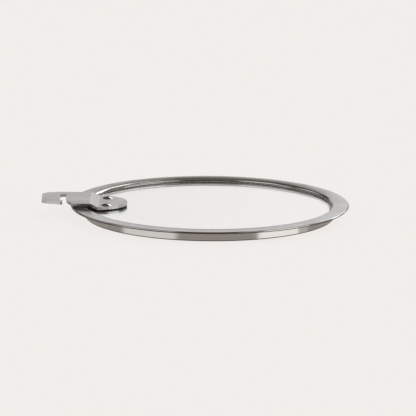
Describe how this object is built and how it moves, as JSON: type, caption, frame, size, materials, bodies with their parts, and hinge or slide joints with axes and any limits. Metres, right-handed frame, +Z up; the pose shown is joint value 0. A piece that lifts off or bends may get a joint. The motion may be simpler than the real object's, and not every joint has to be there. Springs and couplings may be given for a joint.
{
  "type": "saucepan lid",
  "caption": "Flat glass saucepan lid with a stainless flange and skirt, and a riveted flat tab with an open hooking notch in place of a knob.",
  "frame": {"origin": "on the lid's axis, at the bottom of the skirt that drops into the pan", "axes": "+Z up along the lid's axis; the tab reaches out along -X; the notch in the tab opens towards -Y"},
  "size_m": [0.243, 0.22, 0.0127],
  "materials": {
    "pane_glass": "clear polished",
    "satin_steel": "satin with fine grain",
    "polished_steel": "polished",
    "rivet_steel": "polished",
    "clear_silicone": "translucent matt",
    "black_silicone": "matt"
  },
  "bodies": {
    "root": {"glass_pane": "pane_glass", "glass_seal": "clear_silicone", "rim_cover": "satin_steel", "rim_skirt": "polished_steel", "hook_tab": "satin_steel", "tab_gasket": "black_silicone", "counter_gasket": "black_silicone", "counter_plate": "satin_steel", "rivet_front": "rivet_steel", "rivet_back": "rivet_steel", "bush_front": "black_silicone", "bush_back": "black_silicone"}
  },
  "joints": []
}
